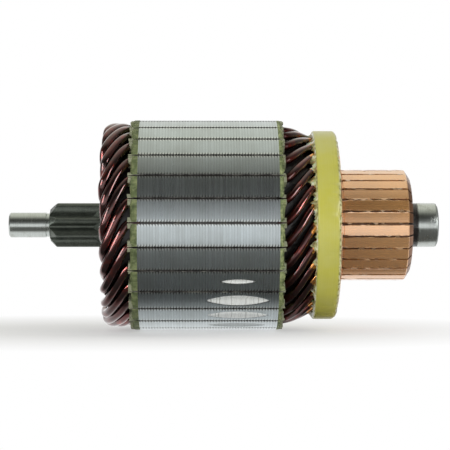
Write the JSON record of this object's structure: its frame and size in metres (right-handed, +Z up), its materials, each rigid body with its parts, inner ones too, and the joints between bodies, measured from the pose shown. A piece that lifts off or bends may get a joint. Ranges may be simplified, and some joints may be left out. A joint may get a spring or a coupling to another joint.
{
  "type": "motor armature",
  "caption": "Wound armature of a geared starter motor: slotted steel core on a shaft with a sun gear, hairpin winding, glass band and copper commutator.",
  "frame": {"origin": "centre of the commutator-end journal on the shaft's axis", "axes": "+X along the shaft from the sun gear to the commutator and out of the commutator end, +Z up as the armature lies on its core in the picture"},
  "size_m": [0.155, 0.076, 0.076],
  "materials": {
    "ground_steel": "ground",
    "core_steel": "turned lamination edges",
    "green_fibre": "vulcanised fibre",
    "insulating_paper": "press paper",
    "bare_copper": "turned copper",
    "phenolic": "moulded phenolic",
    "bonded_mica": "undercut edges",
    "glass_and_resin": "glass fibre in cured resin",
    "enamelled_copper": "dark enamel and varnish"
  },
  "bodies": {
    "root": {"shaft": "ground_steel", "lamination_stack": "core_steel", "end_insulator_drive_end": "green_fibre", "end_insulator_commutator_end": "green_fibre", "slot_liners": "insulating_paper", "layer_cuff_drive_end": "insulating_paper", "layer_cuff_commutator_end": "insulating_paper", "commutator_bars": "bare_copper", "commutator_moulding": "phenolic", "mica_separators": "bonded_mica", "banding_ring": "glass_and_resin", "hairpin_01": "enamelled_copper", "hairpin_02": "enamelled_copper", "hairpin_03": "enamelled_copper", "hairpin_04": "enamelled_copper", "hairpin_05": "enamelled_copper", "hairpin_06": "enamelled_copper", "hairpin_07": "enamelled_copper", "hairpin_08": "enamelled_copper", "hairpin_09": "enamelled_copper", "hairpin_10": "enamelled_copper", "hairpin_11": "enamelled_copper", "hairpin_12": "enamelled_copper", "hairpin_13": "enamelled_copper", "hairpin_14": "enamelled_copper", "hairpin_15": "enamelled_copper", "hairpin_16": "enamelled_copper", "hairpin_17": "enamelled_copper", "hairpin_18": "enamelled_copper", "hairpin_19": "enamelled_copper", "hairpin_20": "enamelled_copper", "hairpin_21": "enamelled_copper", "hairpin_22": "enamelled_copper", "hairpin_23": "enamelled_copper", "hairpin_24": "enamelled_copper", "hairpin_25": "enamelled_copper", "hairpin_26": "enamelled_copper", "hairpin_27": "enamelled_copper", "hairpin_28": "enamelled_copper"}
  },
  "joints": []
}
